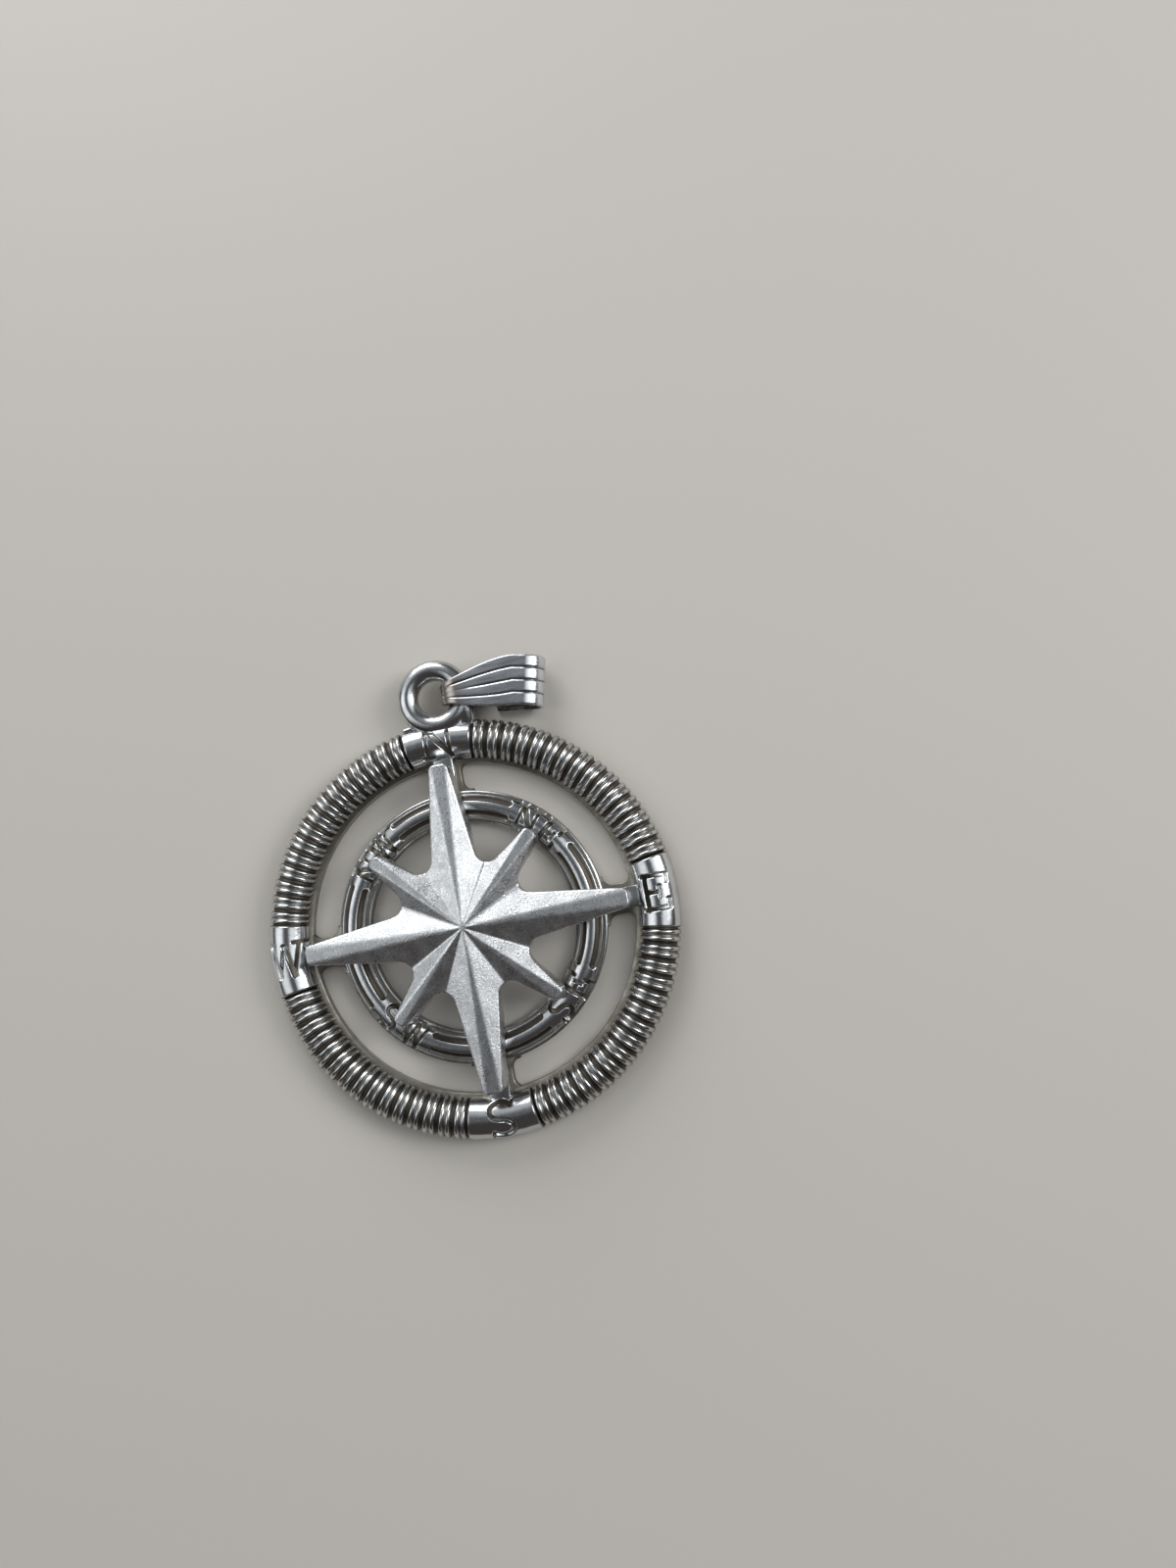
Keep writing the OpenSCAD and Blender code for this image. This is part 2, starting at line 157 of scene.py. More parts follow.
def swing(angles, radius, height):
    """Points at these angles in degrees, this far from the middle and this high."""
    turned = np.radians(angles)
    flat = np.broadcast_arrays(radius * np.cos(turned), radius * np.sin(turned), height)
    return np.stack(flat, axis=-1)

# %% [markdown]
# ## Letters
#
# The compass letters are cut into the rings with a narrow round-nosed tool. A letter is
# a few strokes, and a point's distance from the nearest stroke says whether it lies in
# the cut. That gives soft walls without any Boolean work, and one function serves all
# eight directions.

# %% The strokes of the four capital letters
HEAVY = 1.1
CURVED = 0.9
MEDIUM = 0.8
THIN = 0.6
SERIF = 0.16


def arc_stroke(centre, radii, first, last, steps):
    """Points on an arc, from the first angle to the last, in degrees."""
    return [(centre[0] + radii[0] * math.cos(a), centre[1] + radii[1] * math.sin(a))
            for a in np.radians(np.linspace(first, last, steps))]


def letter_strokes(name, height, width):
    """Lines of a capital letter about its centre, each with its share of the full stroke."""
    x, y = width / 2, height / 2
    s = SERIF * height
    if name == "N":
        return [([(-x, y), (x, -y)], HEAVY), ([(-x, -y), (-x, y)], THIN),
                ([(x, -y), (x, y)], THIN), ([(-x - s, y), (-x + s / 2, y)], THIN),
                ([(-x - s, -y), (-x + s, -y)], THIN), ([(x - s, y), (x + s, y)], THIN)]
    if name == "E":
        return [([(-x, -y), (-x, y)], HEAVY),
                ([(-x - s / 2, y), (x, y), (x, y - 1.4 * s)], MEDIUM),
                ([(-x - s / 2, -y), (x, -y), (x, 1.6 * s - y)], MEDIUM),
                ([(-x, 0), (0.3 * x, 0)], MEDIUM), ([(0.35 * x, -s), (0.35 * x, s)], MEDIUM)]
    if name == "W":
        return [([(-x, y), (-x / 2, -y)], HEAVY), ([(-x / 2, -y), (0, 0.8 * y)], THIN),
                ([(0, 0.8 * y), (x / 2, -y)], HEAVY), ([(x / 2, -y), (x, y)], THIN),
                ([(-x - s, y), (-x + s, y)], THIN), ([(x - s, y), (x + s, y)], THIN)]
    upper = arc_stroke((0, y / 2), (x, y / 2), 35, 270, steps=16)
    lower = arc_stroke((0, -y / 2), (x, y / 2), 90, -145, steps=16)
    return [(upper + lower[1:], CURVED), ([upper[0], (x, y)], THIN),
            ([lower[-1], (-x, -y)], THIN)]


print("strokes in each letter:", {name: len(letter_strokes(name, 1, 1)) for name in CARDINALS})

# %% How deep a point lies in a letter's cut
WIDTH_SHARES = {"N": 0.92, "E": 0.86, "W": 1.15, "S": 0.9}


def cut_depth(flat, name, height, width, stroke, edge):
    """1 in the middle of the letter's cut, 0 outside it, for flat points about its centre."""
    depth = np.zeros(flat.shape[:-1])
    strokes = letter_strokes(name, height - stroke, width * WIDTH_SHARES[name] - stroke)
    for line, share_of_stroke in strokes:
        half = share_of_stroke * stroke / 2
        for start, end in zip(line[:-1], line[1:]):
            start, along = np.array(start), np.array(end) - np.array(start)
            share = np.clip((flat - start) @ along / (along @ along), 0, 1)
            away = np.linalg.norm(flat - start - share[..., None] * along, axis=-1)
            depth = np.maximum(depth, 1 - smooth_step(away, half - edge, half + edge))
    return depth

# %% [markdown]
# ## The ribbed rim
#
# The rim looks like wire wound round a hoop, but it is cast in one piece: fifteen pairs
# of ribs in each quarter. The two ribs of a pair meet in a shallow valley, and a deeper
# groove parts one pair from the next. A hoop that is wound with a real coil would give
# thousands of points that hide each other. Here the hoop's own radius swells and shrinks
# along its length instead, with rows placed closer together at the foot of a rib, where
# the surface is steepest. A small chance in each rib's height and place keeps the rim
# from looking machined.

# %% Rib positions round the rim
RIM_SECTION_R = 1.5
RIM_MID_R = RIM_R - RIM_SECTION_R
CARTOUCHE_L = 5
CARTOUCHE_SPAN = math.degrees(CARTOUCHE_L / RIM_MID_R)
RIB_PAIRS = 15
RIB_SHARE = 0.34
GAP_SHARE = 0.08
PAIR_PITCH = (90 - CARTOUCHE_SPAN) / RIB_PAIRS
RIB_SPAN = RIB_SHARE * PAIR_PITCH
HALF_STEP = (RIB_SPAN + GAP_SHARE * PAIR_PITCH) / 2

rib_middles = []
for cardinal in CARDINALS.values():
    first = cardinal + CARTOUCHE_SPAN / 2
    for pair in range(RIB_PAIRS):
        middle = first + (pair + 0.5) * PAIR_PITCH
        rib_middles += [middle - HALF_STEP, middle + HALF_STEP]
print(len(rib_middles), "ribs, each", round(math.radians(RIB_SPAN) * RIM_MID_R, 3), "mm wide")

# %% How the rim swells at every rib
RIB_POINTS = 11
RIB_FULLNESS = 2.2
RIB_HEIGHTS = (0.9, 1.0)
RIB_SLIP = 0.02
PAIR_VALLEY = 0.4
VALLEY_FLOOR = 0.8 * PAIR_VALLEY
chance = np.random.default_rng(seed=8)

across_rib = -np.cos(np.linspace(0, math.pi, RIB_POINTS))
angles, swells = [], []
for number, middle in enumerate(rib_middles):
    height = chance.uniform(*RIB_HEIGHTS)
    slip = chance.uniform(-RIB_SLIP, RIB_SLIP)
    first_of_pair = number % 2 == 0
    beside_partner = across_rib > 0 if first_of_pair else across_rib < 0
    swell = height * np.sqrt(1 - np.abs(across_rib) ** RIB_FULLNESS)
    angles += list(middle + RIB_SPAN / 2 * (across_rib + slip * (1 - across_rib**2)))
    swells += list(np.where(beside_partner, np.maximum(swell, PAIR_VALLEY), swell))
    angles.append(middle + HALF_STEP)
    swells.append(VALLEY_FLOOR if first_of_pair else 0)
angles, swells = np.array(angles), np.array(swells)
in_order = np.argsort(angles, kind="stable")
angles, swells = angles[in_order][:, None], swells[in_order][:, None]
print("rows of points round the rim:", len(angles))

# %% The wound part of the rim
GROOVE_DEPTH = 0.26
PLATE_T = 0.7
BACK_STEP = 0.02
SECTION_POINTS = 64

round_section = np.radians(np.linspace(0, 360, SECTION_POINTS, endpoint=False))[None, :]
radius = RIM_SECTION_R - GROOVE_DEPTH + GROOVE_DEPTH * swells
height = np.maximum(PLATE_T + radius * np.sin(round_section), BACK_STEP)
rim_grid = swing(angles, RIM_MID_R + radius * np.cos(round_section), height)
hollow = np.broadcast_to(1 - swells, height.shape)
rim = skin("ribbed_rim", rim_grid, {"hollow": hollow}, "pendant", "aged_casting",
           closed_path=True)

# %% [markdown]
# ## The four plain cartouches
#
# Between the wound stretches the rim is smooth and carries a letter. The rows run along
# the rim and are much closer together than on the ribs, so that the cut keeps its shape.
# The ends are drawn in a little, like the end of a sleeve.

# %% One lettered sleeve at each cardinal direction
CARTOUCHE_ROWS = 132
TOP_POINTS = 78
BACK_POINTS = 26
DRAWN_IN = 0.12
LETTER_GRIME = 0.4
LETTER = {"height": 2.7, "width": 2.2, "stroke": 0.34, "edge": 0.05}


def cartouche(name, bearing):
    """A smooth sleeve of the rim, with many points on top where its letter is cut."""
    along = np.linspace(-1, 1, CARTOUCHE_ROWS)[:, None]
    top = np.linspace(20, 160, TOP_POINTS)
    back = np.linspace(160, 380, BACK_POINTS)[1:-1]
    section = np.radians(np.concatenate([top, back]))[None, :]
    drawn_in = DRAWN_IN * smooth_step(np.abs(along), 0.95, 1.0)
    base = RIM_SECTION_R - drawn_in
    bearings = bearing + CARTOUCHE_SPAN / 2 * along
    outline = swing(bearings, RIM_MID_R + base * np.cos(section), 0)
    middle = swing(bearing, RIM_MID_R, 0)
    cut = cut_depth((outline - middle)[..., :2], name, **LETTER)
    radius = base - GROOVE_DEPTH * cut
    height = np.maximum(PLATE_T + radius * np.sin(section), BACK_STEP)
    grid = swing(bearings, RIM_MID_R + radius * np.cos(section), height)
    hollow = np.maximum(LETTER_GRIME * cut, drawn_in / DRAWN_IN)
    skin("cartouche_" + name, grid, {"hollow": hollow}, "pendant", "aged_casting")


for name, bearing in CARDINALS.items():
    cartouche(name, bearing)

# %% [markdown]
# ## The inner ring
#
# The inner ring is a half-round band with a narrow lip on each side. Two slots run along
# it in every quarter, and between the slots two letters stand side by side. The section
# goes round once, so the same grid gives the band, its lips and its flat back.

# %% The inner ring's section
RING_OUT_R = 9.9
RING_IN_R = 7.6
RING_MID_R = (RING_OUT_R + RING_IN_R) / 2
BAND_R = 1.03
BAND_Z = 0.47
BAND_POINTS = 46
LIP_SOFT = 0.05

lean = math.degrees(math.asin((PLATE_T - BAND_Z) / BAND_R))
band = np.radians(np.linspace(lean, 180 - lean, BAND_POINTS))
half_lip = RING_OUT_R - RING_MID_R
outer_lip = [[half_lip, 0], [half_lip, PLATE_T - LIP_SOFT], [half_lip - LIP_SOFT, PLATE_T]]
inner_lip = [[LIP_SOFT - half_lip, PLATE_T], [-half_lip, PLATE_T - LIP_SOFT], [-half_lip, 0]]
band_points = np.stack([BAND_R * np.cos(band), BAND_Z + BAND_R * np.sin(band)], axis=-1)
ring_section = np.concatenate([outer_lip, band_points, inner_lip])
ring_outward = np.zeros_like(ring_section)
lip = len(outer_lip)
ring_outward[lip:-lip] = np.stack([np.cos(band), np.sin(band)], axis=-1)
print("the band's top is at", round(BAND_Z + BAND_R, 2), "mm")

# %% Where the slots lie on the ring
RING_ROWS = 1440
SLOT_W = 0.4
SLOT_PITCH = 1.12
SLOT_HALF_SPAN = 28

ring_angles = np.linspace(0, 360, RING_ROWS, endpoint=False)[:, None]
ring_r = RING_MID_R + ring_section[None, :, 0]
ring_flat = swing(ring_angles, ring_r, 0)[..., :2]
off_cardinal = np.abs((ring_angles + 45) % 90 - 45)
past_end = np.maximum(off_cardinal - SLOT_HALF_SPAN, 0)
slot_cut = np.zeros(ring_flat.shape[:2])
for side in (-1, 1):
    slot_r = RING_MID_R + side * SLOT_PITCH / 2
    off_slot = np.hypot(ring_r - slot_r, np.radians(past_end) * slot_r)
    slot = 1 - smooth_step(off_slot, SLOT_W / 2 - 0.05, SLOT_W / 2 + 0.04)
    slot_cut = np.maximum(slot_cut, slot)
print("share of the section's points in slots:", round(float(slot_cut.mean()), 3))

# %% Where the two-letter marks lie on the ring
MARK_PITCH = 2.05
MARK_LETTER = {"height": 2.1, "width": 1.6, "stroke": 0.3, "edge": 0.04}
HEAD_OUT = 1
HEAD_IN = -1
MARKS = [(45, "NE", HEAD_OUT), (135, "NW", HEAD_OUT), (225, "WS", HEAD_IN), (315, "ES", HEAD_IN)]

mark_step = math.degrees(MARK_PITCH / 2 / RING_MID_R)
mark_cut = np.zeros_like(slot_cut)
for bearing, names, head in MARKS:
    for name, turn in zip(names, (mark_step, -mark_step)):
        spot = math.radians(bearing + turn)
        out = np.array([math.cos(spot), math.sin(spot)])
        along = np.array([math.sin(spot), -math.cos(spot)])
        off = ring_flat - RING_MID_R * out
        seen = head * np.stack([off @ along, off @ out], axis=-1)
        mark_cut = np.maximum(mark_cut, cut_depth(seen, name, **MARK_LETTER))
print("letters on the ring:", sum(len(names) for _, names, _ in MARKS))

# %% The inner ring's skin
SLOT_DEPTH = 0.24
MARK_DEPTH = 0.3
SLOT_GRIME = 0.9
MARK_GRIME = 0.5

depth = np.maximum(SLOT_DEPTH * slot_cut, MARK_DEPTH * mark_cut)
sunk = ring_section[None] - depth[..., None] * ring_outward[None]
ring_grid = swing(ring_angles, RING_MID_R + sunk[..., 0], sunk[..., 1])
ring_hollow = np.maximum(SLOT_GRIME * slot_cut, MARK_GRIME * mark_cut)
skin("inner_ring", ring_grid, {"hollow": ring_hollow}, "pendant", "aged_casting",
     closed_path=True)

# %% [markdown]
# ## Ledge and bridges
#
# A flat ledge lines the open windows, and a bridge with a raised rib crosses from ring to
# ring at each cardinal direction, under the star's long arms. The ledge is one more skin
# with six corners to its section. The bridges are flat plates with soft upper edges, so
# they are outlines that are pulled up and bevelled. Their backs lie a hundredth of a
# millimetre above the ledge's back, because two faces at one height would show in turns.

# %% The ledge round the windows
PLATE_IN_R = 11.95
LEDGE_ROWS = 360
LEDGE_SOFT = 0.06
ledge_out_r = RIM_MID_R + 0.7
ledge_section = np.array([
    [PLATE_IN_R + LEDGE_SOFT, 0], [PLATE_IN_R, LEDGE_SOFT], [PLATE_IN_R, PLATE_T - LEDGE_SOFT],
    [PLATE_IN_R + LEDGE_SOFT, PLATE_T], [ledge_out_r, PLATE_T], [ledge_out_r, 0]])
corner_grime = np.array([0, 0, 0, 0.3, 1, 0])
ledge_angles = np.linspace(0, 360, LEDGE_ROWS, endpoint=False)[:, None]
ledge_grid = swing(ledge_angles, ledge_section[None, :, 0], ledge_section[None, :, 1])
ledge_hollow = np.broadcast_to(corner_grime, ledge_grid.shape[:2])
skin("ledge", ledge_grid, {"hollow": ledge_hollow}, "pendant", "aged_casting",
     closed_path=True)

# %% Helpers for flat plates
def plate(name, outline, low, high, soft_edge, hollow):
    """A flat plate with a soft upper edge, from an outline in millimetres."""
    shape = bmesh.new()
    floor_ring = [shape.verts.new((x, y, low)) for x, y in outline]
    shape.faces.new(floor_ring)
    pulled = bmesh.ops.extrude_face_region(shape, geom=shape.faces[:])
    raised = [item for item in pulled["geom"] if isinstance(item, bmesh.types.BMVert)]
    bmesh.ops.translate(shape, verts=raised, vec=(0, 0, high - low))
    rim_edges = [e for e in shape.edges if all(v in raised for v in e.verts)]
    bmesh.ops.bevel(shape, geom=rim_edges, offset=soft_edge, segments=2, affect="EDGES",
                    profile=0.5)
    shape.verts.ensure_lookup_table()
    points = np.array([v.co[:] for v in shape.verts])
    faces = [[v.index for v in f.verts] for f in shape.faces]
    shape.free()
    marks = {"hollow": np.full(len(points), hollow)}
    return as_piece(name, points, faces, marks, "pendant", "aged_casting")


def turned(outline, bearing):
    """The same outline, turned anticlockwise by a bearing in degrees."""
    c, s = math.cos(math.radians(bearing)), math.sin(math.radians(bearing))
    return [(x * c - y * s, x * s + y * c) for x, y in outline]


# %% The four bridges
BRIDGE_W = 2.2
FILLET = 0.7
RIB_HALF_W = 0.75
BRIDGE = {"low": 0.01, "high": PLATE_T - 0.01, "soft_edge": 0.06, "hollow": 0.3}
BRIDGE_RIB = {"low": 0.1, "high": 1.3, "soft_edge": 0.12, "hollow": 0.15}


def quarter_turn(centre, first, last):
    return arc_stroke(centre, (FILLET, FILLET), first, last, steps=9)


def bridge_outline():
    """A bridge to the east, with a fillet in each of its four corners."""
    half = BRIDGE_W / 2 + FILLET
    inner_x, outer_x = RING_OUT_R + FILLET, PLATE_IN_R - FILLET
    side = [(RING_MID_R, half), (RING_OUT_R, half)] + quarter_turn((inner_x, half), 180, 270)
    side += quarter_turn((outer_x, half), 270, 360) + [(RIM_MID_R, half)]
    return side + [(x, -y) for x, y in reversed(side)]


bridge_rib = [(RING_MID_R, -RIB_HALF_W), (RIM_MID_R, -RIB_HALF_W),
              (RIM_MID_R, RIB_HALF_W), (RING_MID_R, RIB_HALF_W)]
for name, bearing in CARDINALS.items():
    plate("bridge_" + name, turned(bridge_outline(), bearing), **BRIDGE)
    plate("bridge_rib_" + name, turned(bridge_rib, bearing), **BRIDGE_RIB)

# %% [markdown]
# ## The loop
#
# A short thick wire is bent into a ring and soldered on a low shoulder at north. Solder
# runs into the corners, so the joint is a soft saddle, not a crease. Three rough shapes
# are melted into one with the remesh modifier, and smoothing gives the run of the solder.

# %% Helpers that melt rough shapes into one
def add_balls(shape, points, radius, detail):
    """Adds a row of loose balls, all of one radius or each of its own."""
    for point, size in zip(points, np.broadcast_to(radius, len(points))):
        place = Matrix.Translation(point) @ Matrix.Scale(size, 4)
        bmesh.ops.create_icosphere(shape, subdivisions=detail, radius=1, matrix=place)


def melted(name, shape, voxel, smoothing, hollow):
    """Joins rough shapes into one skin and smooths it as running solder would."""
    rough = bpy.data.meshes.new(name)
    shape.to_mesh(rough)
    shape.free()
    lump = bpy.data.objects.new(name + "_lump", rough)
    bpy.context.scene.collection.objects.link(lump)
    remesh = lump.modifiers.new("melt", "REMESH")
    remesh.mode = "VOXEL"
    remesh.voxel_size = voxel
    relax = lump.modifiers.new("run", "SMOOTH")
    relax.iterations = smoothing
    relax.factor = 0.5
    solid = lump.evaluated_get(bpy.context.evaluated_depsgraph_get()).to_mesh()
    points = np.array([v.co[:] for v in solid.vertices])
    faces = [list(f.vertices) for f in solid.polygons]
    bpy.data.objects.remove(lump)
    marks = {"hollow": np.full(len(points), hollow)}
    return as_piece(name, points, faces, marks, "pendant", "aged_casting")

# %% The loop, its web and the solder on the shoulder
WIRE_R = 0.775
LOOP_HOLE_R = 1.27
LOOP_MID_R = LOOP_HOLE_R + WIRE_R
LOOP_X = 0.3
LOOP_Y = frame_high.y - MIDDLE[1] - LOOP_HOLE_R - 2 * WIRE_R
LOOP_Z = 1.435
WEB_START = 0.6
WEB_L = 2.2
WEB_FALL = 0.55
WEB_TAPER = 0.3
SHOULDER_TOP = 1.7
BEAD_R = 0.17

loop_rough = bmesh.new()
around = np.linspace(0, 360, 150, endpoint=False)
add_balls(loop_rough, swing(around, LOOP_MID_R, 0) + (LOOP_X, LOOP_Y, LOOP_Z), WIRE_R, detail=3)
share = np.linspace(0, 1, 40)
web_x = np.full_like(share, LOOP_X + LOOP_MID_R)
web = [web_x, LOOP_Y - WEB_START - WEB_L * share, LOOP_Z - WEB_FALL * share**2]
add_balls(loop_rough, np.stack(web, axis=-1), WIRE_R * (1 - WEB_TAPER * share), detail=3)
for height_share in np.linspace(0.3, 1, 5):
    ridge = swing(np.linspace(81, 99, 46), RIM_R - 0.13, SHOULDER_TOP * height_share - 0.16)
    add_balls(loop_rough, ridge, BEAD_R, detail=2)
melted("loop", loop_rough, voxel=0.05, smoothing=5, hollow=0.1)

# %% [markdown]
# ## The star
#
# Eight arms are folded like paper round one peak. Along every ridge runs a narrow flat,
# the land, which widens towards the blunt tip. Modelling the folds as flat faces with a
# bevel makes a knot where all the edges meet at the peak. So the star is a height: each
# facet is a plane, the lowest plane of an arm wins, the highest arm wins, and a soft
# minimum rounds every ridge. Rays from the peak to the outline carry the points, so each
# fold lies along a ray and stays crisp.

# %% The star's arms
STAR_Z = 1.55
PEAK_H = star_high.z - STAR_Z
ROOT_R = 3.95
ROOT_ANGLE = 27.3
ROOT_FILLET = 0.95
ROOT_WALL = 1.85
TIP_ROUND = 0.42
LONG_GAP = 0.2
SHORT_OVERLAP = 0.7
ARMS = {
    "long": {"reach": PLATE_IN_R - LONG_GAP, "tip_w": 1.46, "tip_wall": 1.8,
             "root_angle": ROOT_ANGLE},
    "short": {"reach": RING_IN_R + SHORT_OVERLAP, "tip_w": 1.06, "tip_wall": 1.95,
              "root_angle": 45 - ROOT_ANGLE},
}


def root_of(arm):
    """The notch on the east side of an arm that points north."""
    a = math.radians(arm["root_angle"])
    return np.array([ROOT_R * math.sin(a), ROOT_R * math.cos(a)])


def turn_clockwise(points, degrees):
    a = math.radians(degrees)
    x, y = points[..., 0], points[..., 1]
    return np.stack([x * math.cos(a) + y * math.sin(a), y * math.cos(a) - x * math.sin(a)], axis=-1)


print("arms reach", {name: round(arm["reach"], 2) for name, arm in ARMS.items()}, "mm")

# %% Half the outline of an arm
TIP_POINTS = 4
SIDE_POINTS = 26
CORNER_POINTS = 9


def half_arm(arm, other):
    """Outline from the middle of the tip to the middle of the root, for an arm that points
    north, on its east side. The other arm is the next one clockwise."""
    straight = arm["reach"] - TIP_ROUND
    side_x = arm["tip_w"] / 2
    tip_centre = (side_x - TIP_ROUND, straight)
    corner = arc_stroke(tip_centre, (TIP_ROUND, TIP_ROUND), 90, 4, CORNER_POINTS)
    tip = [(x, arm["reach"]) for x in np.linspace(0, side_x - TIP_ROUND, TIP_POINTS)[:-1]]
    root = root_of(arm)
    near = np.array([side_x, straight])
    far = turn_clockwise(np.array([-other["tip_w"] / 2, other["reach"] - TIP_ROUND]), 45)
    u, v = (near - root) / np.linalg.norm(near - root), (far - root) / np.linalg.norm(far - root)
    half = math.acos(u @ v) / 2
    bisector = (u + v) / np.linalg.norm(u + v)
    centre = root + ROOT_FILLET / math.sin(half) * bisector
    start = root + ROOT_FILLET / math.tan(half) * u
    run = [tuple(near + (start - near) * share) for share in np.linspace(0, 1, SIDE_POINTS)]
    first = math.degrees(math.atan2(*(start - centre)[::-1]))
    last = math.degrees(math.atan2(*(-bisector)[::-1]))
    last = first + (last - first + 180) % 360 - 180
    fillet = arc_stroke(centre, (ROOT_FILLET, ROOT_FILLET), first, last, CORNER_POINTS)
    return np.array(tip + corner + run + fillet[1:])


# %% The whole outline, from eight arms and their mirror images
MIRROR = np.array([-1, 1])
long_half = half_arm(ARMS["long"], ARMS["short"])
short_half = half_arm(ARMS["short"], ARMS["long"])
stretches = []
for bearing in range(0, 360, 90):
    stretches.append(turn_clockwise(long_half, bearing))
    stretches.append(turn_clockwise((short_half * MIRROR)[::-1][1:], bearing + 45))
    stretches.append(turn_clockwise(short_half[1:], bearing + 45))
    stretches.append(turn_clockwise((long_half * MIRROR)[::-1][1:-1], bearing + 90))
star_outline = np.concatenate(stretches)
print("outline points", len(star_outline))

# %% The folded roof as a height over the plan
LAND_SHARE = 0.72
LAND_EDGE = (-0.02, 0.06)
RIDGE_SOFT = 0.06
VALLEY_SOFT = 0.05
FAR_BELOW = -10.0


def soft_min(a, b, reach):
    """The lower of two heights, rounded where they meet."""
    overlap = np.maximum(reach - np.abs(a - b), 0) / reach
    return np.minimum(a, b) - overlap * overlap * reach / 4


def arm_roof(flat, arm):
    """Height of one arm, which points north, and how much of a point lies on its land."""
    root = root_of(arm)
    tip = np.array([LAND_SHARE * arm["tip_w"] / 2, arm["reach"], arm["tip_wall"] - PEAK_H])
    foot = np.array([root[0], root[1], ROOT_WALL - PEAK_H])
    normal = np.cross(tip, foot)
    slope = -normal[:2] / normal[2]
    land = flat[..., 1] * (arm["tip_wall"] - PEAK_H) / arm["reach"]
    side = np.abs(flat[..., 0]) * slope[0] + flat[..., 1] * slope[1]
    on_land = smooth_step(side - land, *LAND_EDGE)
    return soft_min(land, side, RIDGE_SOFT), on_land


def star_roof(flat):
    """Height of all eight arms below the peak, and the land's share of each point."""
    height = np.full(flat.shape[:-1], FAR_BELOW)
    land = np.zeros(flat.shape[:-1])
    for step in range(8):
        arm = ARMS["long"] if step % 2 == 0 else ARMS["short"]
        seen = turn_clockwise(flat, -45 * step)
        ahead = seen[..., 1] > np.abs(seen[..., 0]) * math.tan(math.radians(18))
        roof, on_land = arm_roof(seen, arm)
        roof = np.where(seen[..., 1] > -0.02, roof, FAR_BELOW)
        land = np.where(ahead & (roof > height), on_land, land)
        height = -soft_min(-height, -roof, VALLEY_SOFT)
    return height, land


# %% Rays from the peak to the rounded edge
EDGE_ROUND = 0.1
FROM_EDGE = np.array([0.16, 0.1, 0.06, 0.03, 0.01, 0.0])
LEAST_SLANT = 0.15
RAY_POINTS = 26
WAVE_H = 0.012
WAVE_TURNS = (2.3, 1.9)
WAVE_STARTS = (0.7, -0.4)

reach = np.linalg.norm(star_outline, axis=1)
ray = star_outline / reach[:, None]
along_edge = np.roll(star_outline, -1, axis=0) - np.roll(star_outline, 1, axis=0)
along_edge /= np.linalg.norm(along_edge, axis=1)[:, None]
slant = np.abs(ray[:, 0] * along_edge[:, 1] - ray[:, 1] * along_edge[:, 0])
near_edge = reach[:, None] - FROM_EDGE[None, :] / np.maximum(slant, LEAST_SLANT)[:, None]
inner = near_edge[:, :1] * np.linspace(0, 1, RAY_POINTS)[:-1] ** 0.8
flat = ray[:, None, :] * np.concatenate([inner, near_edge], axis=1)[..., None]
height, land = star_roof(flat)
inset = np.concatenate([np.full(inner.shape[1], EDGE_ROUND), np.minimum(FROM_EDGE, EDGE_ROUND)])
drop = EDGE_ROUND - np.sqrt(EDGE_ROUND**2 - (EDGE_ROUND - inset) ** 2)
wave = WAVE_H * np.sin(flat * WAVE_TURNS + WAVE_STARTS).prod(axis=-1)
top_z = STAR_Z + PEAK_H + height - drop[None, :] + wave
top = np.concatenate([flat, top_z[..., None]], axis=-1)
print("the star's top", round(float(top_z.max()), 3), "mm, its edge from",
      round(float(top_z[:, -1].min()), 3), "mm up")

# %% Down the wall and back under the hollow star
HOLLOW_R = RING_IN_R - 0.8
HOLLOW_H = 1.05
WALL_SHARES = (0.66, 0.33, 0.04)
UNDER_REACHES = (12, HOLLOW_R, HOLLOW_R - HOLLOW_H / 2, HOLLOW_R - HOLLOW_H, 3, 0)
UNDER_GRIME = 0.4


def underside(r):
    """Height of the star's underside: flat under the tips, and raised in the middle."""
    return STAR_Z + np.clip(HOLLOW_R - r, 0, HOLLOW_H)


wall_h = top_z[:, -1] - underside(reach)
wall = [np.column_stack([star_outline, underside(reach) + wall_h * share])
        for share in WALL_SHARES]
under = []
for under_reach in UNDER_REACHES:
    r = np.minimum(reach * 0.99, under_reach)
    under.append(np.column_stack([ray * r[:, None], underside(r)]))
star_grid = np.concatenate([top, np.stack(wall + under, axis=1)], axis=1)
hidden = np.zeros((len(star_outline), len(wall) + len(under)))
star_marks = {"hollow": np.concatenate([np.zeros_like(land), hidden + UNDER_GRIME], axis=1),
              "land": np.concatenate([land, hidden], axis=1)}
star = skin("star_rose", star_grid, star_marks, "pendant", "satin_star",
            closed_path=True, closed_section=False)

# %% Four hidden pegs that carry the star on the bridges
PEG_R = 0.4
PEG_TIP_R = 0.3
PEG_LOW = 0.8
PEG_HIGH = 1.9

peg_r = np.array([PEG_TIP_R, PEG_R, PEG_R, PEG_TIP_R])[:, None]
peg_z = np.array([PEG_LOW, PEG_LOW, PEG_HIGH, PEG_HIGH])[:, None]
peg = swing(np.linspace(0, 360, 24, endpoint=False)[None, :], peg_r, peg_z)
peg_marks = {"hollow": np.ones(peg.shape[:2]), "land": np.zeros(peg.shape[:2])}
for name, bearing in CARDINALS.items():
    spot = swing(bearing, (RING_OUT_R + ARMS["long"]["reach"]) / 2, 0)
    skin("peg_" + name, spot + peg, peg_marks, "pendant", "satin_star")

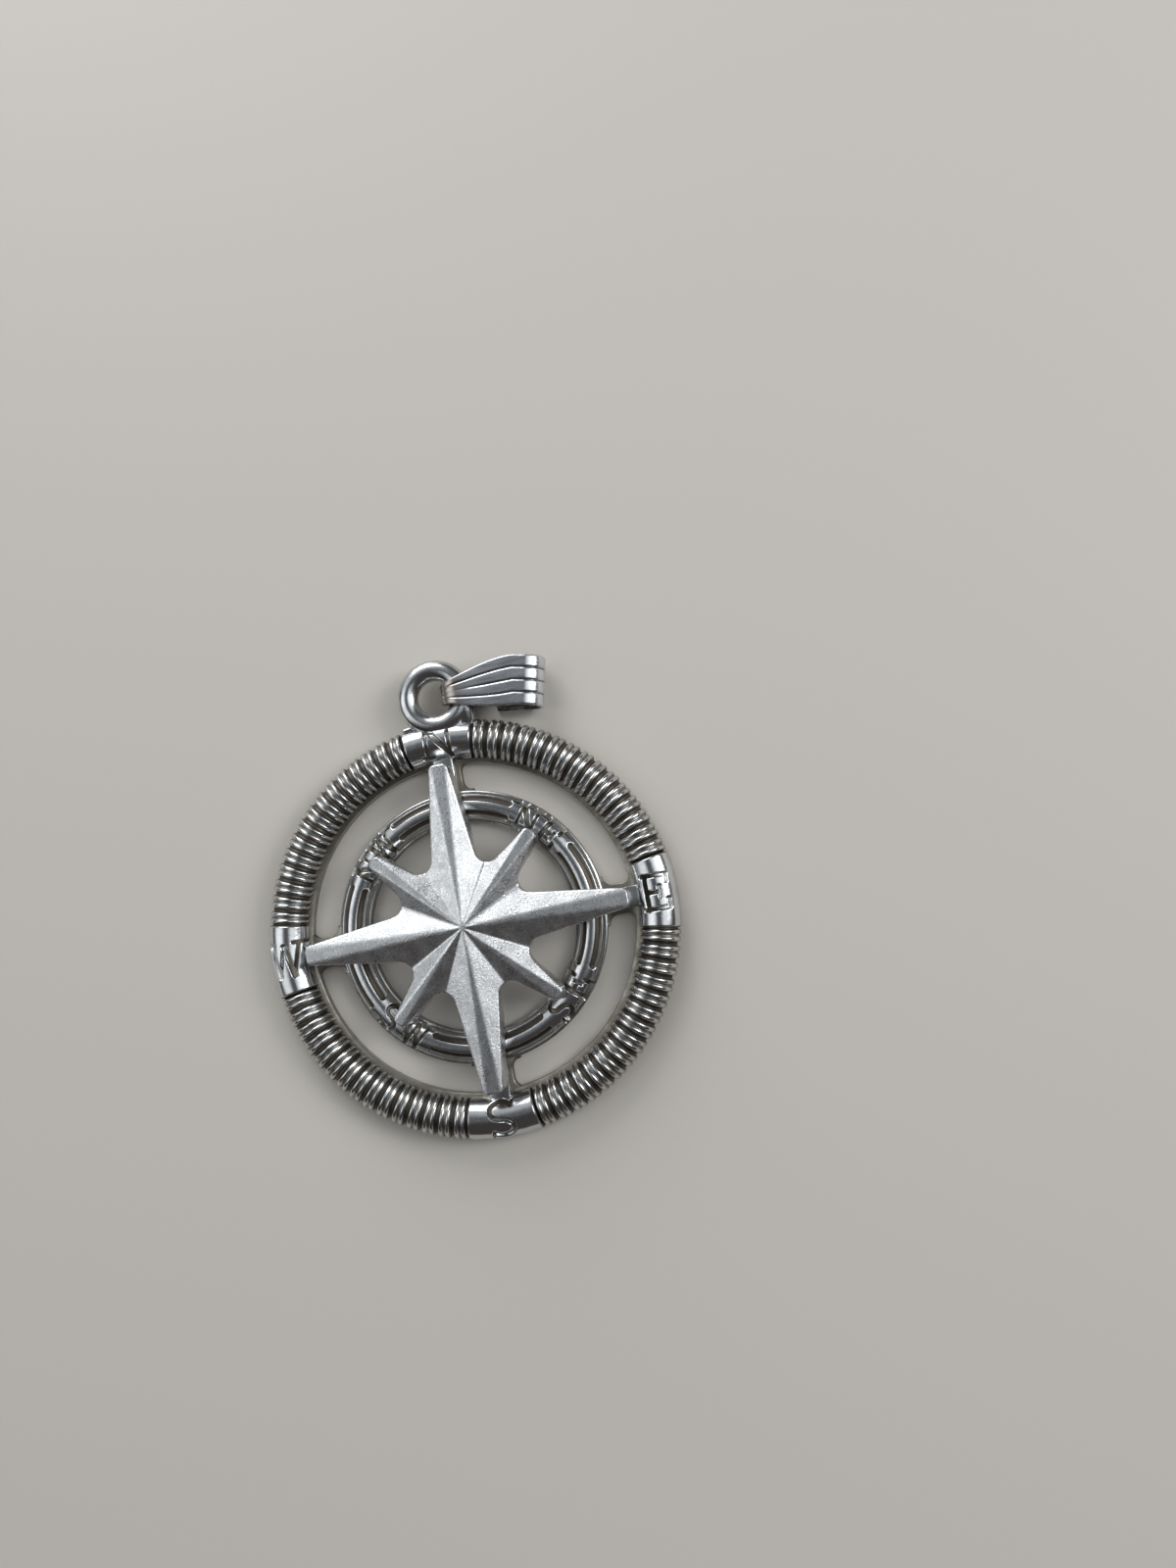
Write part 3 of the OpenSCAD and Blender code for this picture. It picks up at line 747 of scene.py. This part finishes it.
# %% [markdown]
# ## The bail
#
# The bail is one stamped strip. It is narrow where it hooks through the loop, widens
# along the front, rolls over at the far end and comes back as a short leaf behind. Three
# pressed grooves part it into four crowned bands. The strip is a path seen from the
# side, and every point of the path carries the same cross-section at its own width.

# %% The strip's path, seen from the side
STRIP_T = 0.3
FOOT_GAP = 0.34
FOOT_R = WIRE_R + FOOT_GAP + STRIP_T
FOOT_START = 262
CURL_R = FOOT_R + 0.01
BAIL_REACH = 6.4
CURL_X = BAIL_REACH - CURL_R
CURL_Z = CURL_R - LOOP_Z
LEAF_END_X = BAIL_REACH - 4.0


def facing(degrees):
    """A direction seen from the side, as its shares along x and z."""
    return math.cos(math.radians(degrees)), math.sin(math.radians(degrees))


def strip_path():
    """Outer face of the strip as rows of x, z and the outward direction."""
    rise = math.degrees(math.atan2(CURL_Z, CURL_X))
    lift = math.degrees(math.acos((FOOT_R - CURL_R) / math.hypot(CURL_X, CURL_Z)))
    rows = []
    for a in np.linspace(FOOT_START, rise + lift, 40):
        c, s = facing(a)
        rows.append((FOOT_R * c, FOOT_R * s, c, s))
    c, s = facing(rise + lift)
    start = np.array([FOOT_R * c, FOOT_R * s])
    end = np.array([CURL_X + CURL_R * c, CURL_Z + CURL_R * s])
    for share in np.linspace(0, 1, 26)[1:-1]:
        rows.append((*(start + (end - start) * share), c, s))
    for a in np.linspace(rise + lift, rise - lift, 64):
        c, s = facing(a)
        rows.append((CURL_X + CURL_R * c, CURL_Z + CURL_R * s, c, s))
    last_x, last_z = rows[-1][:2]
    for share in np.linspace(0, 1, 14)[1:]:
        x = last_x + (LEAF_END_X - last_x) * share
        rows.append((x, last_z + (last_x - x) * c / s, c, s))
    return np.array(rows)


path = strip_path()
steps = np.linalg.norm(np.diff(path[:, :2], axis=0), axis=1)
print("the strip is", round(float(steps.sum()), 2), "mm long")

# %% The strip's width, and its end bent askew
FOOT_X = LOOP_MID_R - 0.2
FOOT_W = 1.3
WIDE_W = 3.64
TAPER_L = 5.6
END_TURN = math.radians(12)
TURN_SOFT = 0.5


def half_width(x):
    share = np.clip((x + FOOT_R) / TAPER_L, 0, 1) ** 1.2
    return FOOT_W / 2 + (WIDE_W - FOOT_W) / 2 * np.sin(math.pi / 2 * share)


def bent_askew(x, y):
    """Turns everything past the end of the taper towards the south, softly."""
    turn_x = TAPER_L - FOOT_R
    turn = END_TURN * smooth_step(x, turn_x - TURN_SOFT, turn_x + TURN_SOFT)
    ahead = np.maximum(x - turn_x, 0)
    askew_x = x - ahead * (1 - np.cos(turn)) + y * np.sin(turn)
    return askew_x, y * np.cos(turn) - ahead * np.sin(turn)


# %% The strip's cross-section
GROOVE_PLACES = (-0.5, 0, 0.5)
BESIDE_GROOVES = (-0.52, -0.5, -0.48, -0.02, 0.02, 0.48, 0.5, 0.52)
GROOVE_REACH = 0.0825
GROOVE_CUT = 0.07
BAND_CROWN = 0.014
EDGE_DROP = 0.04
# Painted shade on the strip's inner face, dark inside the curl.
BACK_PAINTED_SHADE = 0.95
# Where the painted reflection of the table at the foot fades out along the strip.
FOOT_REFLECTION_RANGE = (-0.4, 1.2)


def strip(name, path, widths, groove_depths):
    """A strip along the path: crowned bands on the outer face, plain on the inner one."""
    v = np.unique(np.concatenate([np.linspace(-1, 1, 41), BESIDE_GROOVES]))
    band_place = (v + 1) * 2 % 1
    crown = BAND_CROWN * (4 * band_place * (1 - band_place)) ** 0.6
    crown[[0, -1]] = -EDGE_DROP
    x, z, out_x, out_z = path.T[..., None]
    half = widths[:, None]
    groove = np.zeros((len(path), len(v)))
    for place, depth in zip(GROOVE_PLACES, groove_depths):
        off = np.abs(v - place) * half
        groove = np.maximum(groove, (1 - smooth_step(off, 0, GROOVE_REACH)) * depth[:, None])
    bulge = crown - GROOVE_CUT * groove - BAND_CROWN
    face = np.stack([x + out_x * bulge, v * half, z + out_z * bulge], axis=-1)
    back_y = np.array([1.0, 0.6, 0, -0.6, -1.0]) * half * 0.995
    back = np.stack(np.broadcast_arrays(
        x - out_x * STRIP_T, back_y, z - out_z * STRIP_T), axis=-1)
    grid = np.concatenate([face, back], axis=1)
    # On the back face, the number is painted shade and not the depth of a groove.
    hollow = np.concatenate([groove, np.full(back.shape[:2], BACK_PAINTED_SHADE)], axis=1)
    # Painted reflection: the foot is marked for a warm brown, a painted reflection of the table.
    foot_reflection = 1 - smooth_step(grid[..., 0], *FOOT_REFLECTION_RANGE)
    askew_x, askew_y = bent_askew(grid[..., 0], grid[..., 1])
    placed = [LOOP_X + FOOT_X + askew_x, LOOP_Y + askew_y, LOOP_Z + grid[..., 2]]
    return skin(name, np.stack(placed, axis=-1), {"hollow": hollow, "foot_reflection": foot_reflection},
                "bail", "bright_strip")


# %% The bail's strip, and the narrow tongue that closes it behind
TONGUE_W = 1.2
TONGUE_POINTS = 20
MIDDLE_FADE = (0.2, 2.5)
SIDE_FADE = (-1.2, 0.4)

behind = (path[:, 1] < -0.3) & (path[:, 0] < 0)
widths = np.where(behind, TONGUE_W / 2, half_width(path[:, 0]))
middle_depth = smooth_step(path[:, 0], *MIDDLE_FADE)
side_depth = smooth_step(path[:, 0], *SIDE_FADE)
bail = strip("bail_strip", path, widths, [side_depth, middle_depth, side_depth])

none = np.zeros(TONGUE_POINTS)
tongue_x = np.linspace(-0.15, LEAF_END_X + 0.5, TONGUE_POINTS)
tongue_path = np.column_stack([tongue_x, none - FOOT_R + 0.01, none, none - 1])
strip("bail_tongue", tongue_path, none + TONGUE_W / 2, [none] * 3)

# %% [markdown]
# ## Finishes
#
# All the metal is plated, and only its surface differs. Each finish is built in nodes
# from three things: the numbers that every point carries, noise at the scale of the real
# patches and pits, and a ramp of colours from bare metal to dark hollow. Painted pictures
# would be another way, but nodes stay sharp at any distance and need no unwrapping.

# %% Shader helpers for a new finish, its noise and the points' numbers
def new_finish(name):
    finish = bpy.data.materials.new(name)
    finish.use_nodes = True
    nodes, links = finish.node_tree.nodes, finish.node_tree.links
    shader = nodes["Principled BSDF"]
    shader.inputs["Metallic"].default_value = 1.0
    return finish, nodes, links, shader


def noise(nodes, links, scale, detail=4.0, roughness=0.6, stretch=(1, 1, 1)):
    place = nodes.new("ShaderNodeTexCoord")
    mapping = nodes.new("ShaderNodeMapping")
    mapping.inputs["Scale"].default_value = stretch
    links.new(place.outputs["Object"], mapping.inputs["Vector"])
    grain = nodes.new("ShaderNodeTexNoise")
    grain.inputs["Scale"].default_value = scale
    grain.inputs["Detail"].default_value = detail
    grain.inputs["Roughness"].default_value = roughness
    links.new(mapping.outputs["Vector"], grain.inputs["Vector"])
    return grain.outputs["Fac"]


def mark_of(nodes, name):
    """A number that every point of the piece carries, such as hollow."""
    node = nodes.new("ShaderNodeAttribute")
    node.attribute_name = name
    return node.outputs["Fac"]

# %% Shader helpers for sums, levels and colours
def reckon(nodes, links, operation, first, second):
    """One sum of two values. The second may be a plain number."""
    node = nodes.new("ShaderNodeMath")
    node.operation = operation
    links.new(first, node.inputs[0])
    if isinstance(second, float):
        node.inputs[1].default_value = second
    else:
        links.new(second, node.inputs[1])
    return node.outputs["Value"]


def relevel(nodes, links, value, before, after, run="LINEAR"):
    """Carries a value from one pair of levels to another pair."""
    node = nodes.new("ShaderNodeMapRange")
    node.interpolation_type = run
    for socket, level in zip(("From Min", "From Max", "To Min", "To Max"), before + after):
        node.inputs[socket].default_value = level
    links.new(value, node.inputs["Value"])
    return node.outputs["Result"]


def ramp(nodes, links, value, stops):
    """A colour for each level of a value. stops are pairs of a place and a colour."""
    node = nodes.new("ShaderNodeValToRGB")
    links.new(value, node.inputs["Fac"])
    while len(node.color_ramp.elements) < len(stops):
        node.color_ramp.elements.new(0.5)
    for element, (place, colour) in zip(node.color_ramp.elements, stops):
        element.position = place
        element.color = (*colour, 1) if len(colour) == 3 else (colour[0],) * 3 + (1,)
    return node.outputs["Color"]


def lowness(nodes, links, low, high):
    """1 at and below the height low, 0 at and above the height high, in millimetres."""
    place = nodes.new("ShaderNodeTexCoord")
    split = nodes.new("ShaderNodeSeparateXYZ")
    links.new(place.outputs["Object"], split.inputs["Vector"])
    return relevel(nodes, links, split.outputs["Z"], (low * MM, high * MM), (1.0, 0.0))


def bump(nodes, links, shader, height, distance, strength):
    node = nodes.new("ShaderNodeBump")
    node.inputs["Distance"].default_value = distance
    node.inputs["Strength"].default_value = strength
    links.new(height, node.inputs["Height"])
    links.new(node.outputs["Normal"], shader.inputs["Normal"])

# %% [markdown]
# ## The casting's finish
#
# The casting was dipped in a dark patina and polished back, so its crowns are bright and
# its hollows brown. Low places near the floor are painted darker as well, as painted
# shade. One value adds up the depth of the hollow, this painted shade and some noise, and
# both the colour and the gloss follow it, so dark places are dull as well.

# %% The casting: polished crowns over brown hollows
CASTING_TONES = [(0.28, (0.64, 0.65, 0.66)), (0.5, (0.47, 0.475, 0.47)),
                 (0.78, (0.24, 0.22, 0.185)), (1.0, (0.1, 0.085, 0.07))]
CASTING_GLOSS = [(0.25, (0.17,)), (0.6, (0.28,)), (1.0, (0.5,))]


def casting_finish():
    finish, nodes, links, shader = new_finish("aged_casting")
    patches = noise(nodes, links, scale=900, detail=5)
    pits = noise(nodes, links, scale=2600, detail=5)
    spread = reckon(nodes, links, "MULTIPLY", patches, 0.55)
    depth = reckon(nodes, links, "MULTIPLY", mark_of(nodes, "hollow"), 0.75)
    # Painted shade: places low down, near the floor, are painted darker.
    under = reckon(nodes, links, "MULTIPLY", lowness(nodes, links, 0.3, 1.5), 0.4)
    grime_and_shade = reckon(nodes, links, "ADD", reckon(nodes, links, "ADD", depth, spread), under)
    links.new(ramp(nodes, links, grime_and_shade, CASTING_TONES), shader.inputs["Base Color"])
    links.new(ramp(nodes, links, grime_and_shade, CASTING_GLOSS), shader.inputs["Roughness"])
    bump(nodes, links, shader, pits, distance=0.00002, strength=0.5)
    return finish


# %% [markdown]
# ## The star's finish
#
# The star was blasted to a fine satin, so it is paler and duller than the rings. Its
# lands are painted darker and cooler, as a painted reflection of the dim space straight
# above them. A very fine noise speckles its colour and dents its surface, and a coarser
# one makes soft clouds. Roughness alone would blur the room evenly, and the star would
# look like plastic.

# %% The star: blasted satin, with lands painted darker as a painted reflection
STAR_TONES = [(0.4, (0.97, 0.965, 0.96)), (0.7, (0.74, 0.745, 0.75)), (1.0, (0.5, 0.515, 0.53))]
STAR_GLOSS = [(0.35, (0.22,)), (0.65, (0.38,))]


def satin_finish():
    finish, nodes, links, shader = new_finish("satin_star")
    grain = noise(nodes, links, scale=9500, detail=2, roughness=0.7)
    patches = noise(nodes, links, scale=1400, detail=4, roughness=0.7)
    # Painted reflection: the lands are painted darker and cooler, for the dim space above.
    land_reflection = reckon(nodes, links, "MULTIPLY", mark_of(nodes, "land"), 0.3)
    speckle = reckon(nodes, links, "MULTIPLY", grain, 1.6)
    clouds = reckon(nodes, links, "MULTIPLY", patches, 0.6)
    tone = reckon(nodes, links, "ADD", reckon(nodes, links, "ADD", clouds, land_reflection), speckle)
    tone = reckon(nodes, links, "SUBTRACT", tone, 0.4)
    links.new(ramp(nodes, links, tone, STAR_TONES), shader.inputs["Base Color"])
    links.new(ramp(nodes, links, patches, STAR_GLOSS), shader.inputs["Roughness"])
    bump(nodes, links, shader, grain, distance=0.00003, strength=0.8)
    return finish


# %% [markdown]
# ## The bail's finish
#
# The strip is polished with fine scratches that run across it, and is dark in its
# grooves. Its inner face behind is painted dark, as painted shade. At the foot, where it
# turns on the loop, a warmer brown is painted in as a painted reflection of the table.
# Noise that is stretched one way gives the scratches, and a number for each point fades
# the plating colour into that painted reflection.

# %% The bail: polished strip with drawn lines
STRIP_TONES = [(0.2, (0.72, 0.74, 0.77)), (0.45, (0.56, 0.57, 0.59)), (1.0, (0.08, 0.07, 0.06))]
STRIP_GLOSS = [(0.3, (0.2,)), (0.7, (0.32,))]
# A warm brown, painted at the foot as a painted reflection of the table.
TABLE_REFLECTION_TINT = (0.44, 0.4, 0.37, 1)


def strip_finish():
    finish, nodes, links, shader = new_finish("bright_strip")
    lines = noise(nodes, links, scale=1500, stretch=(0.25, 3, 1))
    patches = noise(nodes, links, scale=900, detail=3)
    # On the strip's back, this number is painted shade.
    depth = reckon(nodes, links, "MULTIPLY", mark_of(nodes, "hollow"), 0.7)
    spread = reckon(nodes, links, "MULTIPLY", patches, 0.5)
    grime_and_shade = reckon(nodes, links, "ADD", depth, spread)
    # Painted reflection: the plating colour fades into a warm brown at the foot.
    reflection_mix = nodes.new("ShaderNodeMix")
    reflection_mix.data_type = "RGBA"
    plating, reflected_tint = [socket for socket in reflection_mix.inputs if socket.type == "RGBA"]
    reflected_tint.default_value = TABLE_REFLECTION_TINT
    links.new(ramp(nodes, links, grime_and_shade, STRIP_TONES), plating)
    links.new(mark_of(nodes, "foot_reflection"), reflection_mix.inputs["Factor"])
    mixed = next(socket for socket in reflection_mix.outputs if socket.type == "RGBA")
    links.new(mixed, shader.inputs["Base Color"])
    links.new(ramp(nodes, links, lines, STRIP_GLOSS), shader.inputs["Roughness"])
    bump(nodes, links, shader, lines, distance=0.00002, strength=0.4)
    return finish


# %% Every piece gets the finish of its slot
FINISHES = {
    "aged_casting": casting_finish(),
    "satin_star": satin_finish(),
    "bright_strip": strip_finish(),
}
for piece in bpy.data.objects:
    if piece.type == "MESH" and piece.get("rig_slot") in FINISHES:
        piece.data.materials.clear()
        piece.data.materials.append(FINISHES[piece["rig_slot"]])
print("finishes:", sorted(FINISHES))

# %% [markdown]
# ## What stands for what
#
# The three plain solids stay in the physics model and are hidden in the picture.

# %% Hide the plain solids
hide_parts("frame")
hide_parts("star")
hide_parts("bail")

# %% [markdown]
# ## Floor, light and camera
#
# The pendant lies on a pale floor under soft window light from the north and the east,
# with the dark side of the room to the south. Shiny metal shows the room more than its
# own colour, so the room matters as much as the finish. Each facet of the star mirrors
# one patch of the room, and comparing facets tells which patches must be bright: one in
# the low north, strong ones in the east and the west, a grey ceiling and a dark south
# with a little warmth in it. Patches that rise softly need no edges to be seen in the
# metal, which a lamp of any shape would give.

# %% A plain pale floor
FLOOR_HALF = 1.2
FLOOR_Z = -0.00001
FLOOR_COLOUR = (0.65, 0.61, 0.555, 1)

floor_mesh = bpy.data.meshes.new("floor")
corners = [(-FLOOR_HALF, -FLOOR_HALF, 0), (FLOOR_HALF, -FLOOR_HALF, 0),
           (FLOOR_HALF, FLOOR_HALF, 0), (-FLOOR_HALF, FLOOR_HALF, 0)]
floor_mesh.from_pydata(corners, [], [(0, 1, 2, 3)])
floor = bpy.data.objects.new("floor", floor_mesh)
floor.location.z = FLOOR_Z
bpy.context.scene.collection.objects.link(floor)
pale = bpy.data.materials.new("pale_floor")
pale.use_nodes = True
paint = pale.node_tree.nodes["Principled BSDF"]
paint.inputs["Base Color"].default_value = FLOOR_COLOUR
paint.inputs["Roughness"].default_value = 0.6
floor_mesh.materials.append(pale)
print("floor", 2 * FLOOR_HALF, "m wide")

# %% Directions in the room, and patches of light in them
room = bpy.data.worlds.new("room")
bpy.context.scene.world = room
room.use_nodes = True
tree = room.node_tree
place = tree.nodes.new("ShaderNodeTexCoord")


def towards(azimuth, elevation):
    """A direction: azimuth in degrees clockwise from north, elevation above the floor."""
    a, e = math.radians(azimuth), math.radians(elevation)
    return Vector((math.sin(a) * math.cos(e), math.cos(a) * math.cos(e), math.sin(e)))


def patch_of(direction, extent, levels):
    """A level that changes softly over an extent, where 1 is straight in this direction,
    0 is at right angles to it and -1 is behind."""
    dot = tree.nodes.new("ShaderNodeVectorMath")
    dot.operation = "DOT_PRODUCT"
    dot.inputs[1].default_value = direction
    tree.links.new(place.outputs["Generated"], dot.inputs[0])
    return relevel(tree.nodes, tree.links, dot.outputs["Value"], extent, levels, "SMOOTHSTEP")


# %% The room that the metal shows
CEILING = 0.105
BRIGHT_AREAS = [(330, 36, 0.74, 0.54), (86, 52, 0.82, 1.45), (268, 44, 0.84, 1.3)]
SOUTH_SHADE = 0.17
WARM_SIDE = 0.045
ROOM_TINTS = [(0.04, (1.0, 0.84, 0.79)), (0.13, (0.84, 0.92, 1.0)), (0.6, (0.95, 0.98, 1.0))]

level = CEILING
for azimuth, elevation, edge, strength in BRIGHT_AREAS:
    area = patch_of(towards(azimuth, elevation), (edge, 1.0), (0.0, strength))
    level = reckon(tree.nodes, tree.links, "ADD", area, level)
northward = patch_of(towards(0, 0), (-0.4, 0.1), (SOUTH_SHADE, 1.0))
level = reckon(tree.nodes, tree.links, "MULTIPLY", level, northward)
warmth = patch_of(towards(165, 35), (0.3, 1.0), (0.0, WARM_SIDE))
level = reckon(tree.nodes, tree.links, "ADD", level, warmth)
tint = ramp(tree.nodes, tree.links, level, ROOM_TINTS)
tree.links.new(tint, tree.nodes["Background"].inputs["Color"])
tree.links.new(level, tree.nodes["Background"].inputs["Strength"])
print("bright areas of the room:", len(BRIGHT_AREAS))

# %% Soft lamps
LAMP_COLOUR = (0.96, 0.98, 1.0)


def soft_lamp(name, direction, distance, size, power):
    lamp_data = bpy.data.lights.new(name, "AREA")
    lamp_data.size = size
    lamp_data.energy = power
    lamp_data.color = LAMP_COLOUR
    lamp = bpy.data.objects.new(name, lamp_data)
    lamp.location = direction * distance
    lamp.rotation_euler = (-direction).to_track_quat("-Z", "Y").to_euler()
    bpy.context.scene.collection.objects.link(lamp)
    print(name, power, "W")


soft_lamp("window_north", towards(345, 22), distance=0.4, size=0.24, power=0.9)
soft_lamp("window_east", towards(80, 33), distance=0.4, size=0.16, power=0.5)
bpy.context.scene.view_settings.view_transform = "Standard"

# %% [markdown]
# ## The camera, as the photograph was taken
#
# The photograph was taken from almost straight above and close by, so near parts look a
# little larger and lean outwards. The camera's place, aim and roll were fitted to the
# outlines of the two rings. They are given in millimetres from the middle of the rings.

# %% The camera
EYE = Vector((18.02, -0.08, 85.41))
AIM = Vector((10.13, 8.64, 0.0))
ROLL = math.radians(10.49)
FOCAL_PX = 1200
LONG_SIDE_PX = 1600
SENSOR = 36
forward = (AIM - EYE).normalized()
right = forward.cross(Vector((0, 1, 0))).normalized()
up = right.cross(forward)
spin = Matrix.Rotation(ROLL, 3, forward)
right, up = spin @ right, spin @ up
camera_data = bpy.data.cameras.new("camera")
camera_data.sensor_width = SENSOR
camera_data.lens = SENSOR * FOCAL_PX / LONG_SIDE_PX
camera_data.clip_start = 0.005
camera = bpy.data.objects.new("camera", camera_data)
bpy.context.scene.collection.objects.link(camera)
axes = Matrix((right, up, -forward)).transposed().to_4x4()
camera.matrix_world = Matrix.Translation((EYE + Vector(MIDDLE)) * MM) @ axes
bpy.context.scene.camera = camera
print("camera", [round(value / MM, 2) for value in camera.location])
